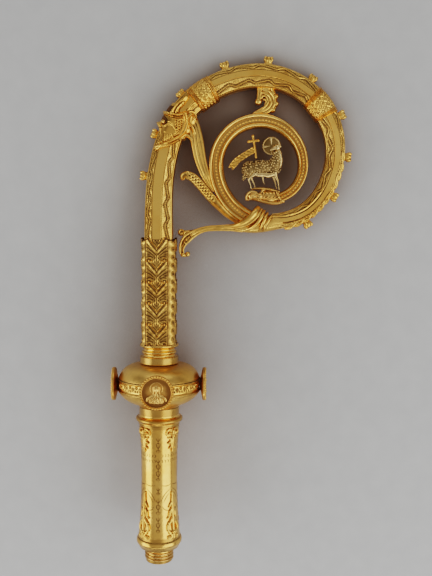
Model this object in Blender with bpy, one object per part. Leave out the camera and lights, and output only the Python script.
"""Bishop's crosier head in gilt metal, lying on its back.

Design frame, in millimetres: u points to the volute's side, v up the stem and w out of the
face. The stem's axis is u = w = 0, and v = 0 is the middle of the knop's belt. Every piece is
modelled in that frame, and one empty lays the whole crosier down on the three pieces that
touch the table: the rim of the back medallion and the backs of the two crook collars.
"""
from math import cos, pi, radians, sin, sqrt

import bmesh
import bpy
from mathutils import Matrix, Vector

MM = 0.001
GAP = 0.35                      # clearance between pieces that touch

# Crook: an eight-sided tube whose centre line is a stem and a volute
STEM_FOOT = 34.0                # where the tube starts, inside the sheath
TUBE_STRAIGHT_TO = 124.0        # the taper starts here
TUBE_HALVES = [(0.0, 11.7), (0.48, 9.5), (0.74, 7.7), (1.0, 6.8)]      # (part of the bend, half width)
VOLUTE_U, VOLUTE_V = 83.2, 193.5
VOLUTE_OUTER_R = 67.0
STEM_BEND = [(0, STEM_FOOT), (0, 85), (0, 130), (1.6, 169), (4.8, 187), (11.5, 207.5), (22, 224.5),
             (36.5, 237), (57.5, 247.2)]

# Inner ring: the band that carries the spiral on
RING_U, RING_V, RING_R = 81.4, 180.0, 35.3
RING_START_DEG, RING_END_DEG = 262.0, -58.0
RING_START_OUT, RING_END_IN = 9.0, 4.8
RING_HALF_START, RING_HALF_END = 6.3, 4.0
RING_HALF_DEPTH = 5.6

# Turned pieces, as (v, radius) from top to bottom
SHEATH_TOP, SHEATH_FOOT, SHEATH_HALF = 120.3, 34.0, 13.4
UPPER_COLLAR = [(33.6, 14.6), (33.0, 15.9), (31.6, 15.9), (29.4, 13.1), (26.2, 13.6), (23.6, 13.2),
                (22.8, 15.7), (17.2, 15.7)]
KNOP_DOME = [(16.9, 15.9), (16.2, 22.2), (14.2, 27.4), (10.6, 31.2), (5.5, 33.0)]
KNOP_BELT = [(5.2, 34.1), (3.8, 34.1), (3.4, 33.4), (-3.6, 33.4), (-4.0, 34.1), (-5.4, 34.1)]
KNOP_BOWL = [(-5.7, 33.0), (-9.4, 30.6), (-13.2, 25.4), (-16.8, 17.4), (-18.4, 16.7)]
LOWER_COLLAR = [(-18.7, 16.6), (-24.6, 16.6), (-26.4, 17.4), (-28.4, 19.3), (-29.4, 19.3), (-32.2, 17.2)]
SOCKET = [(-32.5, 16.8), (-50.0, 15.4), (-66.0, 14.9), (-84.0, 14.9), (-104.0, 15.5), (-120.0, 16.6),
          (-128.6, 17.6)]
SHOULDER_V, SHOULDER_R = -137.2, 16.4          # the flat ring that the staff's ferrule meets
SPIGOT_R, SPIGOT_ROOT = 12.1, 11.3
SPIGOT_FOOT, SPIGOT_FOOT_R = -150.0, 9.8
BASE_FERRULE = [(-128.9, 18.2), (-130.0, 18.8), (-133.2, 18.8), (SHOULDER_V, SHOULDER_R),
                (SHOULDER_V, SPIGOT_ROOT), (-139.8, SPIGOT_ROOT), (-140.8, SPIGOT_R), (-142.0, SPIGOT_ROOT),
                (-143.6, SPIGOT_R), (-145.0, SPIGOT_ROOT), (-146.4, SPIGOT_R), (SPIGOT_FOOT, SPIGOT_FOOT_R)]
TURNED_SIDES = 32

# Medallions: a disc on a cone, in (distance from the stem's axis, radius)
MEDALLION_R = 13.6
MEDALLION_FACE = 38.5
MEDALLION = [(34.5, 4.0), (35.7, 13.0), (36.2, MEDALLION_R), (38.1, MEDALLION_R), (MEDALLION_FACE, 13.2),
             (MEDALLION_FACE, 12.0), (37.6, 11.6)]

# Ornaments on the tube
MASK_FROM, MASK_TO = (6.8, 194.5), (18.0, 219.5)
COLLAR_LEFT_AT, COLLAR_RIGHT_AT = (35.6, 235.9), (128.3, 230.1)
COLLAR_LENGTH = 16.0
COLLAR_SWELL = [(0.0, 1.1), (0.08, 2.2), (0.18, 2.2), (0.26, 1.4), (0.5, 1.9), (0.74, 1.4), (0.82, 2.2),
                (0.92, 2.2), (1.0, 1.1)]
MASK_SWELL = [(0.0, 0.8), (0.12, 1.3), (0.4, 1.5), (0.7, 1.6), (0.9, 1.4), (1.0, 0.9)]
CROCKET_AT = [(-11.6, 170.5), (-2.7, 204.3), (17.5, 236.3), (51.7, 259.6), (87.5, 263.9), (123.8, 248.6),
              (147.2, 220.6), (153.5, 187.0), (144.2, 153.4), (122.5, 129.8)]
CROCKET = [(0.0, 1.7), (1.2, 1.2), (2.8, 1.9), (4.2, 2.8), (5.8, 1.0)]
CROCKET_SIDES = 7

# Socket ornaments
SCROLL_TOP_FROM, SCROLL_TOP_TO, SCROLL_TOP_DEG = -33.4, -53.8, 24.0
SCROLL_BASE_FROM, SCROLL_BASE_TO, SCROLL_BASE_DEG = -88.0, -127.6, 22.0
SCROLL_HEIGHT = 1.9

LEAF_SIDES = 8
LEDGE_V = 160.4                 # what the lamb stands on
LAMB_BODY, LAMB_RADII, LAMB_LEAN = (82.6, 177.4, 0.0), (15.2, 7.0, 5.6), 4.0


# ---------------------------------------------------------------- materials and meshes

def material(name, colour, roughness, metallic=1.0):
    mat = bpy.data.materials.new(name)
    mat.use_nodes = True
    shader = mat.node_tree.nodes["Principled BSDF"]
    shader.inputs["Base Color"].default_value = (*colour, 1.0)
    shader.inputs["Roughness"].default_value = roughness
    shader.inputs["Metallic"].default_value = metallic
    return mat


def add_object(name, points, faces, finish):
    """A closed mesh from points in the design frame, with its faces turned outwards."""
    mesh = bpy.data.meshes.new(name)
    mesh.from_pydata([Vector(p) * MM for p in points], [], faces)
    work = bmesh.new()
    work.from_mesh(mesh)
    bmesh.ops.recalc_face_normals(work, faces=work.faces)
    work.to_mesh(mesh)
    work.free()
    mesh.shade_smooth()
    mesh.set_sharp_from_angle(angle=radians(32))
    mesh.materials.append(finish)
    obj = bpy.data.objects.new(name, mesh)
    bpy.context.scene.collection.objects.link(obj)
    return obj


def bridge(count, first, second, flip=False):
    """Quads between two rings of points that start at the given indices."""
    quads = []
    for i in range(count):
        j = (i + 1) % count
        quad = (first + i, first + j, second + j, second + i)
        quads.append(quad[::-1] if flip else quad)
    return quads


def loft(name, rings, finish):
    """A solid skin over rings of points, closed by a flat face at each end."""
    count = len(rings[0])
    faces = []
    for k in range(len(rings) - 1):
        faces += bridge(count, k * count, (k + 1) * count)
    faces.append(tuple(range(count))[::-1])
    faces.append(tuple(range((len(rings) - 1) * count, len(rings) * count)))
    return add_object(name, [p for ring in rings for p in ring], faces, finish)


def sleeve(name, outer, inner, finish):
    """A wall between two sets of rings, open right through."""
    count = len(outer[0])
    rings = outer + inner[::-1]
    faces = []
    for k in range(len(rings)):
        faces += bridge(count, k * count, ((k + 1) % len(rings)) * count)
    return add_object(name, [p for ring in rings for p in ring], faces, finish)


def combine(obj, other, operation):
    """Replace obj's mesh by its Boolean with other, and remove other."""
    change = obj.modifiers.new(operation.lower(), "BOOLEAN")
    change.operation = operation
    change.solver = "EXACT"
    change.object = other
    bpy.context.view_layer.update()
    result = bpy.data.meshes.new_from_object(obj.evaluated_get(bpy.context.evaluated_depsgraph_get()))
    obj.modifiers.remove(change)
    obj.data = result
    bpy.data.objects.remove(other)
    return obj


def union(name, pieces):
    whole = pieces[0]
    for piece in pieces[1:]:
        combine(whole, piece, "UNION")
    whole.name = name
    return whole


# ---------------------------------------------------------------- curves and sections

def natural_spline(values, knots):
    """Second derivatives of the natural cubic spline through values at knots."""
    n = len(values)
    second = [0.0] * n
    work = [0.0] * n
    for i in range(1, n - 1):
        share = (knots[i] - knots[i - 1]) / (knots[i + 1] - knots[i - 1])
        pivot = share * second[i - 1] + 2.0
        rise = (values[i + 1] - values[i]) / (knots[i + 1] - knots[i])
        rise -= (values[i] - values[i - 1]) / (knots[i] - knots[i - 1])
        second[i] = (share - 1.0) / pivot
        work[i] = (6.0 * rise / (knots[i + 1] - knots[i - 1]) - share * work[i - 1]) / pivot
    for i in range(n - 2, 0, -1):
        second[i] = second[i] * second[i + 1] + work[i]
    second[0] = 0.0
    return second


class Path:
    """A smooth plane curve through a few points, measured by its length."""

    def __init__(self, points, fine=24):
        points = [Vector((p[0], p[1])) for p in points]
        knots = [0.0]
        for a, b in zip(points, points[1:]):
            knots.append(knots[-1] + (b - a).length)
        bend = [natural_spline([p[axis] for p in points], knots) for axis in (0, 1)]
        self.samples = []
        for i in range(len(points) - 1):
            step = knots[i + 1] - knots[i]
            for k in range(fine):
                b = k / fine
                a = 1.0 - b
                lift = step * step / 6.0
                self.samples.append(Vector([
                    a * points[i][x] + b * points[i + 1][x]
                    + ((a ** 3 - a) * bend[x][i] + (b ** 3 - b) * bend[x][i + 1]) * lift
                    for x in (0, 1)]))
        self.samples.append(points[-1])
        self.reach = [0.0]
        for a, b in zip(self.samples, self.samples[1:]):
            self.reach.append(self.reach[-1] + (b - a).length)
        self.length = self.reach[-1]

    def at(self, distance):
        """The point, and the unit tangent, at a distance along the curve."""
        distance = min(max(distance, 0.0), self.length)
        i = 0
        while i < len(self.samples) - 2 and self.reach[i + 1] < distance:
            i += 1
        part = (distance - self.reach[i]) / (self.reach[i + 1] - self.reach[i])
        before = self.samples[max(i - 1, 0)]
        after = self.samples[min(i + 2, len(self.samples) - 1)]
        here = self.samples[i].lerp(self.samples[i + 1], part)
        return here, (after - before).normalized()

    def nearest(self, point):
        point = Vector(point)
        best = min(range(len(self.samples)), key=lambda i: (self.samples[i] - point).length)
        return self.reach[best]


def ring_on(path, distance, section):
    """A section of (outward, w) points set square to the path. Outward is left of the travel."""
    here, along = path.at(distance)
    out = Vector((-along.y, along.x))
    return [(here.x + out.x * n, here.y + out.y * n, w) for n, w in section]


def octagon(half, depth=None):
    """An eight-sided section, half its width across and depth half its height."""
    depth = half if depth is None else depth
    flat = 0.414
    return [(half, flat * depth), (flat * half, depth), (-flat * half, depth), (-half, flat * depth),
            (-half, -flat * depth), (-flat * half, -depth), (flat * half, -depth), (half, -flat * depth)]


def oval(half, depth, sides=12):
    return [(half * cos(2 * pi * i / sides), depth * sin(2 * pi * i / sides)) for i in range(sides)]


def blend(table, t):
    """Read a small table of (position, value) pairs with straight lines between them."""
    for (t0, v0), (t1, v1) in zip(table, table[1:]):
        if t <= t1:
            return v0 + (v1 - v0) * (t - t0) / (t1 - t0)
    return table[-1][1]


def volute_points():
    """The right half of the crook: a circular outer edge less half the tube's width."""
    points = []
    for degrees in (90, 62, 34, 6, -22, -50, -81):
        half = blend([(0.0, 9.5), (90.0, 7.7), (171.0, 6.8)], 90.0 - degrees)
        reach = VOLUTE_OUTER_R - half
        a = radians(degrees)
        points.append((VOLUTE_U + reach * cos(a), VOLUTE_V + reach * sin(a)))
    return points


def ring_points():
    """The inner ring: a circle that opens out at its start and closes in at its end."""
    points = []
    steps = 20
    for k in range(steps + 1):
        degrees = RING_START_DEG + (RING_END_DEG - RING_START_DEG) * k / steps
        opening = max(0.0, (degrees - 180.0) / (RING_START_DEG - 180.0))
        closing = max(0.0, degrees / RING_END_DEG)
        reach = RING_R + RING_START_OUT * opening ** 2 - RING_END_IN * closing ** 2
        a = radians(degrees)
        points.append((RING_U + reach * cos(a), RING_V + reach * sin(a)))
    return points


CROOK_PATH = Path(STEM_BEND + volute_points())
RING_PATH = Path(ring_points(), fine=6)


def tube_half(distance):
    """Half the tube's width at a distance along the crook."""
    start = TUBE_STRAIGHT_TO - STEM_FOOT
    return blend(TUBE_HALVES, max(0.0, (distance - start) / (CROOK_PATH.length - start)))


def ring_half(distance):
    t = distance / RING_PATH.length
    return blend([(0.0, RING_HALF_START), (0.55, 6.1), (0.8, 4.4), (1.0, RING_HALF_END)], t)


def ring_section(distance, extra=0.0):
    half = ring_half(distance) + extra
    depth = RING_HALF_DEPTH * (0.75 + 0.25 * ring_half(distance) / RING_HALF_START) + extra
    return [(half, 0.45 * depth), (0.72 * half, depth), (-0.72 * half, depth), (-half, 0.45 * depth),
            (-half, -0.45 * depth), (-0.72 * half, -depth), (0.72 * half, -depth), (half, -0.45 * depth)]


def crook_rings(start, end, count, extra=0.0):
    spots = [start + (end - start) * k / (count - 1) for k in range(count)]
    return [ring_on(CROOK_PATH, s, octagon(tube_half(s) + extra)) for s in spots]


def crook_cutter(extra=GAP):
    return loft("crook_cutter", crook_rings(0.0, CROOK_PATH.length, 90, extra), GILT)


def ring_cutter(extra=GAP):
    spots = [RING_PATH.length * k / 70 for k in range(71)]
    rings = [ring_on(RING_PATH, s, ring_section(s, extra)) for s in spots]
    return loft("ring_cutter", rings, GILT)


# ---------------------------------------------------------------- the pieces of the volute

def make_crook():
    straight = TUBE_STRAIGHT_TO - STEM_FOOT
    spots = [0.0, straight * 0.5, straight]
    count = 40
    spots += [straight + (CROOK_PATH.length - straight) * k / count for k in range(1, count + 1)]
    return loft("crook", [ring_on(CROOK_PATH, s, octagon(tube_half(s))) for s in spots], GILT)


def make_inner_ring():
    count = 38
    spots = [RING_PATH.length * k / count for k in range(count + 1)]
    return loft("inner_ring", [ring_on(RING_PATH, s, ring_section(s)) for s in spots], GILT)


def tube_sleeve(name, start, end, swell):
    """A sleeve round the tube whose wall follows a table of (part of the length, thickness)."""
    outer, inner = [], []
    for t, thick in swell:
        s = start + (end - start) * t
        clear = tube_half(s) + GAP
        inner.append(ring_on(CROOK_PATH, s, octagon(clear)))
        outer.append(ring_on(CROOK_PATH, s, octagon(clear + thick)))
    return sleeve(name, outer, inner, GILT)


def leaf(name, points, halves, thickness, count=14, finish=None):
    """A tapering leaf along a path: a lens-shaped section, (part, half width) in halves."""
    path = Path(points, fine=8)
    rings = []
    for k in range(count + 1):
        t = k / count
        half = blend(halves, t)
        deep = thickness * min(1.0, 0.35 + half / 3.0)
        rings.append(ring_on(path, path.length * t, oval(half, deep, LEAF_SIDES)))
    return loft(name, rings, finish or GILT)


def make_strut_leaf():
    path = [(20.5, 214.5), (25.2, 208.5), (29.2, 200.0), (32.8, 187.0), (36.0, 174.0), (39.7, 163.4),
            (42.0, 158.8)]
    halves = [(0.0, 6.6), (0.25, 5.4), (0.5, 4.4), (0.75, 3.0), (0.9, 1.9), (1.0, 0.8)]
    strut = leaf("strut_leaf", path, halves, 4.4, 12)
    start, end = CROOK_PATH.nearest(MASK_FROM), CROOK_PATH.nearest(MASK_TO)
    margin = 14.0
    spots = [start - margin + (end - start + 2 * margin) * k / 24 for k in range(25)]
    clear = max(t for _, t in MASK_SWELL) + 2 * GAP
    around = [ring_on(CROOK_PATH, s, octagon(tube_half(s) + clear)) for s in spots]
    combine(strut, loft("mask_cutter", around, GILT), "DIFFERENCE")
    return combine(strut, ring_cutter(), "DIFFERENCE")


def make_binding():
    """A wrapped lump over the joint of crook and ring, waisted in the middle."""
    path = [(93.0, 133.2), (86.0, 133.4), (79.0, 135.2), (72.5, 136.6)]
    halves = [(0.0, 8.2), (0.2, 9.2), (0.5, 8.6), (0.8, 9.0), (1.0, 7.6)]
    binding = leaf("volute_binding", path, halves, 8.4, 8)
    combine(binding, crook_cutter(), "DIFFERENCE")
    return combine(binding, ring_cutter(), "DIFFERENCE")


def make_leaf_upper():
    path = [(64.5, 133.6), (53.4, 141.4), (41.2, 153.2), (31.0, 166.2), (24.4, 171.6), (18.9, 170.8),
            (18.2, 167.4)]
    halves = [(0.0, 1.4), (0.25, 1.8), (0.5, 2.4), (0.75, 3.5), (0.86, 3.9), (0.95, 3.0), (1.0, 1.4)]
    blade = leaf("leaf_upper", path, halves, 3.0, 18)
    return combine(blade, ring_cutter(), "DIFFERENCE")


def make_leaf_lower():
    stem = leaf("leaf_lower", [(70.0, 128.4), (57.0, 129.6), (45.5, 128.4), (31.0, 125.0), (22.0, 120.8)],
                [(0.0, 1.6), (0.3, 1.5), (0.7, 1.7), (0.9, 2.4), (1.0, 2.0)], 2.6, 9)
    ball = ellipsoid("ball", (17.6, 125.0, 0.0), (2.9, 2.9, 2.9), across=8, rows=6)
    neck = leaf("neck", [(24.0, 123.0), (20.5, 124.2), (17.6, 124.8)], [(0.0, 1.6), (1.0, 1.2)], 1.8, 2)
    tip = leaf("tip", [(24.5, 123.4), (20.0, 119.8), (17.8, 114.4), (19.4, 108.2), (22.0, 105.6)],
               [(0.0, 1.8), (0.3, 3.2), (0.6, 2.6), (0.85, 1.8), (1.0, 1.9)], 2.6, 7)
    return union("leaf_lower", [stem, neck, ball, tip])


def make_scroll_bracket():
    """A flat S-scroll with lobes, cut to the crook above it and the ring below it."""
    outline = [(79.6, 244.0), (92.6, 244.0), (92.2, 238.4), (94.4, 235.4), (96.4, 231.4), (95.0, 227.4),
               (91.6, 223.6), (88.6, 219.0), (80.6, 219.0), (79.6, 223.0), (84.2, 225.8), (86.0, 228.8),
               (84.6, 231.2), (83.4, 229.6), (81.2, 228.6), (78.6, 229.8), (77.8, 232.2), (79.0, 234.8),
               (79.4, 239.0)]
    half = 3.2
    edge = 0.8
    middle = Vector((86.0, 231.0))
    inset = [tuple(Vector(p) + (middle - Vector(p)).normalized() * edge) for p in outline]
    rings = [[(u, v, -half) for u, v in inset], [(u, v, -half + edge) for u, v in outline],
             [(u, v, half - edge) for u, v in outline], [(u, v, half) for u, v in inset]]
    bracket = loft("scroll_bracket", rings, GILT)
    combine(bracket, crook_cutter(), "DIFFERENCE")
    return combine(bracket, ring_cutter(), "DIFFERENCE")


def make_leaf_terminal():
    knob = leaf("leaf_terminal", [(98.4, 154.6), (91.0, 154.2), (84.5, 154.8), (79.5, 156.0), (75.0, 156.2),
                                  (71.8, 154.2), (71.2, 151.6)],
                [(0.0, 4.4), (0.25, 5.0), (0.45, 4.4), (0.6, 3.4), (0.75, 3.4), (0.9, 2.4), (1.0, 1.0)],
                5.0, 16)
    ledge = leaf("ledge", [(74.6, 159.2), (85.0, 159.8), (97.4, 158.2)], [(0.0, 0.5), (0.5, 0.7), (1.0, 0.6)],
                 4.4, 6)
    whole = union("leaf_terminal", [knob, ledge])
    return combine(whole, ring_cutter(), "DIFFERENCE")


def crocket_seat(distance):
    """How far the surface that carries a bud stands from the tube's centre line."""
    start, end = CROOK_PATH.nearest(MASK_FROM), CROOK_PATH.nearest(MASK_TO)
    if start < distance < end:
        return tube_half(distance) + GAP + blend(MASK_SWELL, (distance - start) / (end - start))
    return tube_half(distance)


def make_crocket(number, at):
    """A bud on a short stalk, turned about a line square to the outer edge of the crook."""
    s = CROOK_PATH.nearest(at)
    here, along = CROOK_PATH.at(s)
    out = Vector((-along.y, along.x))
    foot = here + out * (crocket_seat(s) + GAP)
    turns = [2 * pi * i / CROCKET_SIDES for i in range(CROCKET_SIDES)]
    rings = []
    for height, radius in CROCKET:
        base = foot + out * height
        reach = along * radius
        rings.append([(base.x + reach.x * cos(a), base.y + reach.y * cos(a), radius * sin(a))
                      for a in turns])
    return loft(f"crocket_{number:02d}", rings, GILT)


# ---------------------------------------------------------------- the lamb

def ellipsoid(name, centre, radii, lean=0.0, finish=None, across=10, rows=7):
    """An ellipsoid with flat-tipped poles on its v axis, leaned in the plane of the face."""
    rings = []
    for r in range(rows):
        a = pi * (0.04 + 0.92 * r / (rows - 1))
        ring = []
        for i in range(across):
            b = 2 * pi * i / across
            p = Vector((radii[0] * sin(a) * cos(b), radii[1] * cos(a), radii[2] * sin(a) * sin(b)))
            p = Matrix.Rotation(radians(lean), 3, "Z") @ p
            ring.append(tuple(p + Vector(centre)))
        rings.append(ring)
    return loft(name, rings, finish or GILT)


def limb(name, points, radii, finish, sides=6):
    """A round limb through points in space, with one radius for each."""
    points = [Vector(p) for p in points]
    rings = []
    for i, (here, radius) in enumerate(zip(points, radii)):
        along = (points[min(i + 1, len(points) - 1)] - points[max(i - 1, 0)]).normalized()
        side = along.cross(Vector((0, 0, 1))).normalized()
        up = side.cross(along)
        rings.append([tuple(here + (side * cos(2 * pi * k / sides) + up * sin(2 * pi * k / sides)) * radius)
                      for k in range(sides)])
    return loft(name, rings, finish)


def make_lamb():
    """The lamb stands facing the volute's open side and looks back over its shoulder."""
    body = ellipsoid("lamb", LAMB_BODY, LAMB_RADII, LAMB_LEAN, SILVER, 14, 9)
    rump = ellipsoid("rump", (73.6, 176.4, 0.0), (6.6, 7.0, 5.2), 0.0, SILVER)
    chest = ellipsoid("chest", (93.0, 179.4, 0.0), (6.4, 8.2, 5.2), -12.0, SILVER)
    neck = limb("neck", [(93.6, 181.0, 0.2), (95.6, 187.6, 0.6), (94.6, 194.2, 1.2)], [5.0, 4.0, 3.2], SILVER)
    head = limb("head", [(96.0, 196.2, 1.4), (93.2, 195.8, 2.0), (89.8, 194.0, 2.4), (87.2, 192.2, 2.4)],
                [2.2, 3.2, 2.4, 1.5], SILVER)
    ear = ellipsoid("ear", (97.0, 195.0, 3.4), (1.9, 1.1, 0.8), -35.0, SILVER, 8, 5)
    tail = limb("tail", [(69.0, 179.2, 0.0), (67.6, 175.0, 0.0), (67.6, 170.6, 0.0), (68.2, 167.2, 0.0)],
                [1.6, 1.8, 2.0, 1.2], SILVER)
    foot = LEDGE_V
    legs = [
        limb("hind_near", [(74.0, 173.6, 2.8), (73.2, 170.0, 2.8), (72.6, 167.4, 2.8),
                           (74.2, foot + 0.9, 2.8), (73.9, foot, 2.8)], [3.4, 1.9, 1.2, 1.0, 1.3], SILVER),
        limb("hind_far", [(77.0, 173.6, -2.8), (76.8, 170.6, -2.8), (76.0, 168.0, -2.8),
                          (78.4, foot + 1.4, -2.8),
                          (78.1, foot + 0.5, -2.8)], [3.2, 1.8, 1.2, 1.0, 1.3], SILVER),
        limb("fore_near", [(93.0, 174.6, 2.8), (95.8, 170.6, 2.8), (96.8, 166.8, 2.8), (97.0, foot, 2.8),
                           (96.8, foot - 1.2, 2.8)], [3.4, 1.9, 1.2, 1.0, 1.3], SILVER),
        limb("fore_far", [(91.0, 174.0, -2.8), (91.6, 170.6, -2.8), (90.6, 166.8, -2.8),
                          (90.8, foot + 1.2, -2.8),
                          (90.5, foot + 0.2, -2.8)], [3.2, 1.8, 1.2, 1.0, 1.3], SILVER)]
    return union("lamb", [body, rump, chest, neck, head, ear, tail] + legs)


def make_nimbus():
    """A halo plate behind the lamb's head, with three bars of a cross inside its ring."""
    centre = (91.6, 196.2)
    back, front = -4.2, -3.2
    outer, inner = 7.0, 5.9
    turns = [2 * pi * i / 24 for i in range(24)]
    rings = []
    for radius, w in ((outer, back), (outer, front), (inner, front), (inner, back)):
        rings.append([(centre[0] + radius * cos(a), centre[1] + radius * sin(a), w) for a in turns])
    ring = sleeve("nimbus", rings[:2], [rings[3], rings[2]], SILVER)
    bars = [ring]
    for degrees in (50.0, 140.0):
        a = radians(degrees)
        along, side = Vector((cos(a), sin(a))), Vector((-sin(a), cos(a)))
        square = ((-1, -1), (1, -1), (1, 1), (-1, 1))
        corners = [along * x * (inner + 0.4) + side * y * 0.7 for x, y in square]
        plates = [[(centre[0] + c.x, centre[1] + c.y, w) for c in corners] for w in (back + 0.1, front - 0.1)]
        bars.append(loft("bar", plates, SILVER))
    return union("nimbus", bars)


def make_cross_staff():
    w = 0.0
    staff = limb("cross_staff", [(78.9, 185.8, w), (77.3, 194.0, w), (75.6, 202.8, w)], [0.75, 0.7, 0.7],
                 GILT)
    arms = limb("arms", [(72.9, 199.4, w), (76.3, 199.9, w), (79.8, 200.5, w)], [0.75, 0.7, 0.75], GILT)
    whole = union("cross_staff", [staff, arms])
    clear = [radius + GAP for radius in LAMB_RADII]
    fleece = ellipsoid("fleece", LAMB_BODY, clear, LAMB_LEAN, SILVER, 14, 9)
    return combine(whole, fleece, "DIFFERENCE")


def make_banner():
    """A flag with a swallow tail, streaming back and down from the staff."""
    outline = [(75.6, 196.4), (71.4, 194.6), (66.4, 190.6), (61.4, 186.0), (55.2, 180.0), (58.4, 180.2),
               (59.2, 177.2), (63.4, 182.2), (68.0, 186.8), (72.2, 190.2), (76.4, 192.0)]
    return loft("banner", [[(u, v, w) for u, v in outline] for w in (-0.5, 0.5)], GILT)


# ---------------------------------------------------------------- the turned pieces

def turned(name, profile, sides=TURNED_SIDES):
    rings = []
    for v, radius in profile:
        rings.append([(radius * cos(2 * pi * i / sides), v, radius * sin(2 * pi * i / sides))
                      for i in range(sides)])
    return loft(name, rings, GILT)


def make_stem_sheath():
    """A faceted sleeve round the foot of the stem, a chamfered square in section."""
    face = 8.4
    h = SHEATH_HALF
    outer = [(h, face), (face, h), (-face, h), (-h, face),
             (-h, -face), (-face, -h), (face, -h), (h, -face)]
    inner = octagon(tube_half(0.0) + GAP)
    levels = (SHEATH_FOOT, SHEATH_TOP)
    return sleeve("stem_sheath", [[(a, v, b) for a, b in outer] for v in levels],
                  [[(a, v, b) for a, b in inner] for v in levels], GILT)


def make_medallion(name, degrees):
    """A disc with a sunk field, on a pin that stands square on the belt."""
    sides = 28
    a = radians(degrees)
    out = Vector((sin(a), 0.0, cos(a)))
    side = Vector((cos(a), 0.0, -sin(a)))
    up = Vector((0.0, 1.0, 0.0))
    rings = []
    around = [side * cos(2 * pi * i / sides) + up * sin(2 * pi * i / sides) for i in range(sides)]
    for reach, radius in MEDALLION:
        rings.append([tuple(out * reach + spoke * radius) for spoke in around])
    return loft(name, rings, GILT)


def socket_radius(v):
    return blend([(-top, radius) for top, radius in SOCKET], -v)


def make_socket_scroll(name, top, foot, spread_deg, degrees):
    """A cushioned patch of ornament lying on the socket, pointed at both ends."""
    rows, across = 7, 5
    skins = []
    for height in (0.0, SCROLL_HEIGHT):
        skin = []
        for r in range(rows + 1):
            t = r / rows
            v = top + (foot - top) * t
            width = spread_deg * (0.35 + 0.65 * sqrt(max(0.0, sin(pi * (0.08 + 0.84 * t)))))
            for c in range(across + 1):
                x = 2.0 * c / across - 1.0
                a = radians(degrees + width * x)
                cushion = 0.25 + 0.75 * (1 - x * x) * sin(pi * (0.06 + 0.88 * t))
                swell = 0.3 + height * cushion if height else 0.0
                radius = socket_radius(v) + GAP + swell
                skin.append((radius * sin(a), v, radius * cos(a)))
        skins.append(skin)
    wide = across + 1
    size = len(skins[0])
    faces = []
    for r in range(rows):
        for c in range(across):
            i = r * wide + c
            faces.append((i, i + 1, i + wide + 1, i + wide))
            faces.append(tuple(size + k for k in (i + wide, i + wide + 1, i + 1, i)))
    border = [c for c in range(wide)]
    border += [r * wide + across for r in range(1, rows + 1)]
    border += [rows * wide + c for c in range(across - 1, -1, -1)]
    border += [r * wide for r in range(rows - 1, 0, -1)]
    for a, b in zip(border, border[1:] + border[:1]):
        faces.append((b, a, size + a, size + b))
    return add_object(name, skins[0] + skins[1], faces, GILT)


# ---------------------------------------------------------------- lying down

def resting_up(pieces, rounds=5):
    """The table's normal in the design frame, from the lowest points of the three contacts."""
    contacts = ("medallion_back", "collar_left", "collar_right")
    touching = [piece for piece in pieces if piece.name in contacts]
    up = Vector((0.0, 0.0, 1.0))
    for _ in range(rounds):
        a, b, c = [min((v.co for v in piece.data.vertices), key=up.dot) for piece in touching]
        up = (b - a).cross(c - a).normalized()
        if up.z < 0:
            up.negate()
    return up


def lay_down(pieces):
    """Rest the crosier on its three contacts, and centre its base on the origin."""
    up = resting_up(pieces)
    stem = Vector((0.0, 1.0, 0.0))
    forward = (stem - up * stem.dot(up)).normalized()
    turn = Matrix((forward.cross(up), forward, up))
    corners = [turn @ v.co for piece in pieces for v in piece.data.vertices]
    low = Vector([min(p[axis] for p in corners) for axis in range(3)])
    high = Vector([max(p[axis] for p in corners) for axis in range(3)])
    pose = bpy.data.objects.new("lying_pose", None)
    bpy.context.scene.collection.objects.link(pose)
    pose.rotation_euler = turn.to_euler()
    pose.location = (-(low.x + high.x) / 2, -(low.y + high.y) / 2, -low.z)
    for piece in pieces:
        piece.parent = pose


for old in list(bpy.data.objects):
    bpy.data.objects.remove(old)

GILT = material("gilt_brass", (0.83, 0.56, 0.19), 0.28)
SILVER = material("silver_gilt", (0.80, 0.74, 0.58), 0.35)

pieces = [make_crook(), make_inner_ring(), make_binding(), make_leaf_upper(), make_leaf_lower(),
          make_strut_leaf()]
mask_from, mask_to = CROOK_PATH.nearest(MASK_FROM), CROOK_PATH.nearest(MASK_TO)
pieces.append(tube_sleeve("mask_sleeve", mask_from, mask_to, MASK_SWELL))
for side, spot in (("left", COLLAR_LEFT_AT), ("right", COLLAR_RIGHT_AT)):
    centre = CROOK_PATH.nearest(spot)
    ends = (centre - COLLAR_LENGTH / 2, centre + COLLAR_LENGTH / 2)
    pieces.append(tube_sleeve(f"collar_{side}", *ends, COLLAR_SWELL))
pieces += [make_scroll_bracket(), make_leaf_terminal(), make_lamb(), make_nimbus(), make_cross_staff(),
           make_banner()]
for index, spot in enumerate(CROCKET_AT):
    pieces.append(make_crocket(index + 1, spot))
pieces.append(make_stem_sheath())
for label, shape in (("upper_collar", UPPER_COLLAR), ("knop_dome", KNOP_DOME), ("knop_belt", KNOP_BELT),
                     ("knop_bowl", KNOP_BOWL), ("lower_collar", LOWER_COLLAR), ("socket", SOCKET),
                     ("base_ferrule", BASE_FERRULE)):
    pieces.append(turned(label, shape))
for label, angle in (("front", 0.0), ("right", 90.0), ("back", 180.0), ("left", 270.0)):
    pieces.append(make_medallion(f"medallion_{label}", angle))
for index in range(4):
    angle = 45.0 + 90.0 * index
    pieces.append(make_socket_scroll(f"socket_scroll_top_{index + 1}", SCROLL_TOP_FROM, SCROLL_TOP_TO,
                                     SCROLL_TOP_DEG, angle))
    pieces.append(make_socket_scroll(f"socket_scroll_base_{index + 1}", SCROLL_BASE_FROM, SCROLL_BASE_TO,
                                     SCROLL_BASE_DEG, angle))
lay_down(pieces)
